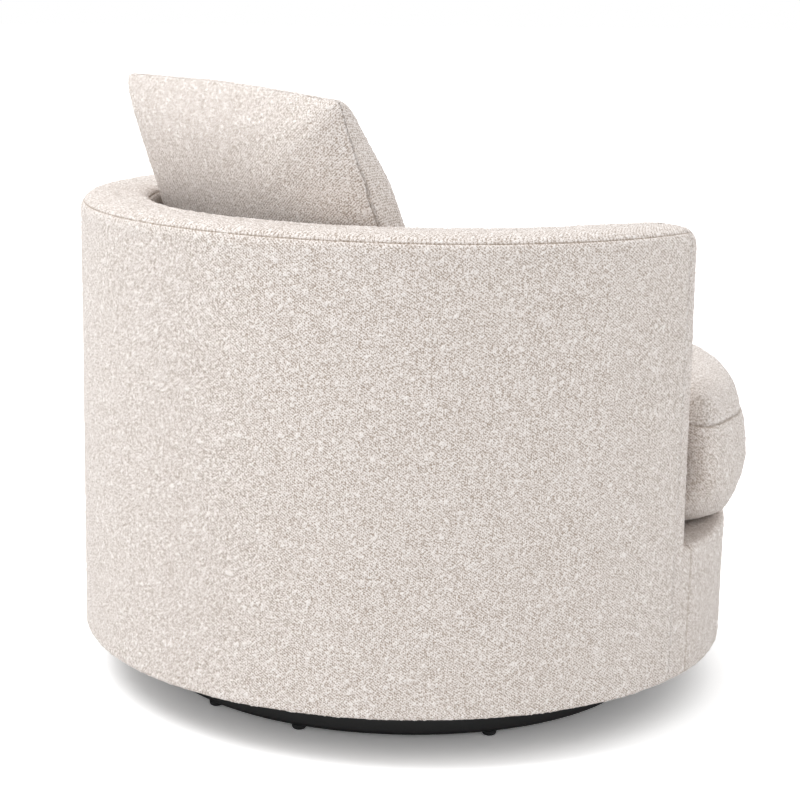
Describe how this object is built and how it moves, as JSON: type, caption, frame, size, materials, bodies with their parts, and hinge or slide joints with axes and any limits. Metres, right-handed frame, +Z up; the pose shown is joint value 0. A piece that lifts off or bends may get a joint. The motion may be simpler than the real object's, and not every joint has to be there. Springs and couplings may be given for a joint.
{
  "type": "swivel chair",
  "caption": "Round drum-shaped tub chair in looped cream cloth with a plump seat cushion and a loose pillow, turning freely on a hidden round black base.",
  "frame": {"origin": "on the floor, at the middle of the whole chair's box; the swivel axis stands 12.5 mm behind it", "axes": "+Z up, the chair faces -Y, +X is the sitter's left"},
  "size_m": [0.9, 0.9249, 0.8192],
  "materials": {
    "looped_cloth": "matte",
    "deck_cloth": "matte",
    "dark_cloth": "matte",
    "strap": "matte",
    "foam": "matte",
    "wadding": "matte",
    "timber": "matte",
    "bent_panel": "matte",
    "black_lacquer": "satin",
    "black_nylon": "satin",
    "zinc_steel": "satin",
    "cage_brass": "satin"
  },
  "bodies": {
    "base": {"glides": "black_nylon", "base_disc": "black_lacquer", "riser_block": "black_lacquer", "riser_screws": "zinc_steel", "lower_plate": "zinc_steel", "lower_race": "zinc_steel", "plate_screws": "zinc_steel", "pivot_pin": "zinc_steel", "pin_washer": "zinc_steel", "pin_nut": "zinc_steel"},
    "ball_ring": {"ball_cage": "cage_brass", "bearing_balls": "zinc_steel"},
    "tub": {"upper_race": "zinc_steel", "upper_plate": "zinc_steel", "plate_bolts": "zinc_steel", "tee_nuts": "zinc_steel", "bottom_board": "timber", "base_studs": "timber", "seat_ring": "timber", "wall_posts": "timber", "arm_posts": "timber", "top_rail": "timber", "outer_panel": "bent_panel", "inner_panel": "bent_panel", "cross_straps": "strap", "long_straps": "strap", "deck_pad": "foam", "deck_cover": "deck_cloth", "wall_foam": "foam", "rim_foam": "foam", "left_arm_foam": "foam", "right_arm_foam": "foam", "outer_wadding": "wadding", "outside_cover": "looped_cloth", "inside_cover": "looped_cloth", "top_band": "looped_cloth", "left_arm_front": "looped_cloth", "right_arm_front": "looped_cloth", "front_cover": "looped_cloth", "dust_cover": "dark_cloth"},
    "seat": {"seat_cover": "looped_cloth", "seat_core": "foam"},
    "pillow": {"pillow_cover": "looped_cloth", "pillow_fill": "wadding"}
  },
  "joints": [
    {"name": "swivel", "type": "hinge", "parent": "base", "child": "tub", "pos_m": [0, 0.0125, 0], "axis": [0, 0, 1], "continuous": true},
    {"name": "ball_run", "type": "hinge", "parent": "base", "child": "ball_ring", "pos_m": [0, 0.0125, 0], "axis": [0, 0, 1], "continuous": true},
    {"name": "seat_lift", "type": "slide", "parent": "tub", "child": "seat", "axis": [0, 0, 1], "range_m": [0, 0.45]},
    {"name": "pillow_lift", "type": "slide", "parent": "seat", "child": "pillow", "axis": [0, 0, 1], "range_m": [0, 0.4]}
  ],
  "couplings": [
    {"joint": "ball_run", "follows": "swivel", "ratio": 0.5}
  ]
}
